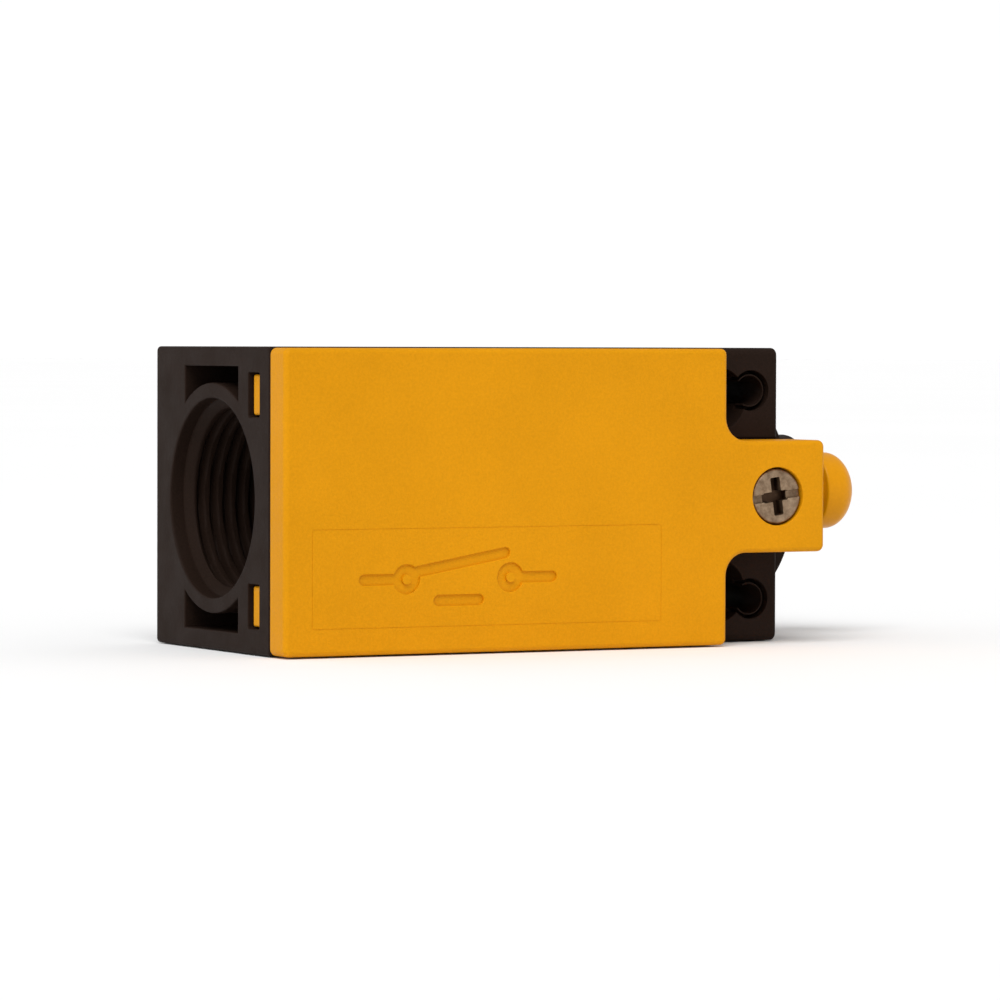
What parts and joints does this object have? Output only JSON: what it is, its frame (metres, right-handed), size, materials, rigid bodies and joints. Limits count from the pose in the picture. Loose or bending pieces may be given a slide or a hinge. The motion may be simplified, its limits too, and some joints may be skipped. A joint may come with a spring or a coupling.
{
  "type": "limit switch",
  "caption": "Compact plunger-operated position switch: black base, hinged cover with a captive screw, threaded cable entry, double-break contact block.",
  "frame": {"origin": "centre of the whole switch in length and depth, at the underside it lies on, with the plunger out", "axes": "+X along the body from the cable entry to the plunger, -Y out of the front cover, +Y out of the back mounting face, +Z across the width"},
  "size_m": [0.076, 0.0314, 0.031],
  "materials": {
    "black_plastic": "warm black moulded plastic, satin, fine grain",
    "yellow_cover": "orange-yellow moulded plastic, fine spark-eroded grain",
    "yellow_plunger": "orange-yellow acetal, smooth",
    "ivory_plastic": "natural moulded plastic",
    "grey_plastic": "dark grey thermoset",
    "red_plastic": "red-brown moulded plastic",
    "seal_rubber": "nitrile rubber",
    "zinc_steel": "zinc-plated steel",
    "spring_steel": "drawn spring wire",
    "brass": "stamped and turned brass",
    "copper": "stamped copper alloy with silver contact rivets"
  },
  "bodies": {
    "housing": {"base_housing": "black_plastic", "threaded_insert": "brass", "head_collar": "black_plastic", "collar_clip": "zinc_steel", "plunger_seal": "seal_rubber", "contact_block_body": "grey_plastic", "contact_block_lid": "ivory_plastic", "return_spring": "spring_steel", "nc_terminal_upper": "brass", "nc_terminal_lower": "brass", "no_terminal_upper": "brass", "no_terminal_lower": "brass", "nc_clamp_plate_upper": "zinc_steel", "nc_clamp_plate_lower": "zinc_steel", "no_clamp_plate_upper": "zinc_steel", "no_clamp_plate_lower": "zinc_steel", "nc_terminal_screw_upper": "zinc_steel", "nc_terminal_screw_lower": "zinc_steel", "no_terminal_screw_upper": "zinc_steel", "no_terminal_screw_lower": "zinc_steel", "block_screw_upper": "zinc_steel", "block_screw_lower": "zinc_steel"},
    "cover": {"front_cover": "yellow_cover", "cover_gasket": "seal_rubber", "cover_screw": "zinc_steel", "screw_retainer": "ivory_plastic"},
    "plunger": {"plunger": "yellow_plunger", "contact_carrier": "red_plastic", "nc_bridge_spring": "spring_steel", "no_bridge_spring": "spring_steel"},
    "nc_bridge": {"nc_bridge": "copper"},
    "no_bridge": {"no_bridge": "copper"}
  },
  "joints": [
    {"name": "plunger_slide", "type": "slide", "parent": "housing", "child": "plunger", "axis": [-1, 0, 0], "range_m": [0, 0.006], "stiffness_N_per_m": 600, "springref_m": -0.01, "deforming": ["return_spring", "nc_bridge_spring", "no_bridge_spring"]},
    {"name": "nc_bridge_slide", "type": "slide", "parent": "housing", "child": "nc_bridge", "axis": [-1, 0, 0], "range_m": [0, 0.0039]},
    {"name": "no_bridge_slide", "type": "slide", "parent": "housing", "child": "no_bridge", "axis": [-1, 0, 0], "range_m": [0, 0.0024]},
    {"name": "cover_hinge", "type": "hinge", "parent": "housing", "child": "cover", "pos_m": [-0.03796, -0.0122, 0.0155], "axis": [0, 0, -1], "range_deg": [0, 75]}
  ],
  "couplings": [
    {"joint": "nc_bridge_slide", "follows": "plunger_slide", "ratio": 0.65},
    {"joint": "no_bridge_slide", "follows": "plunger_slide", "ratio": 0.4}
  ]
}
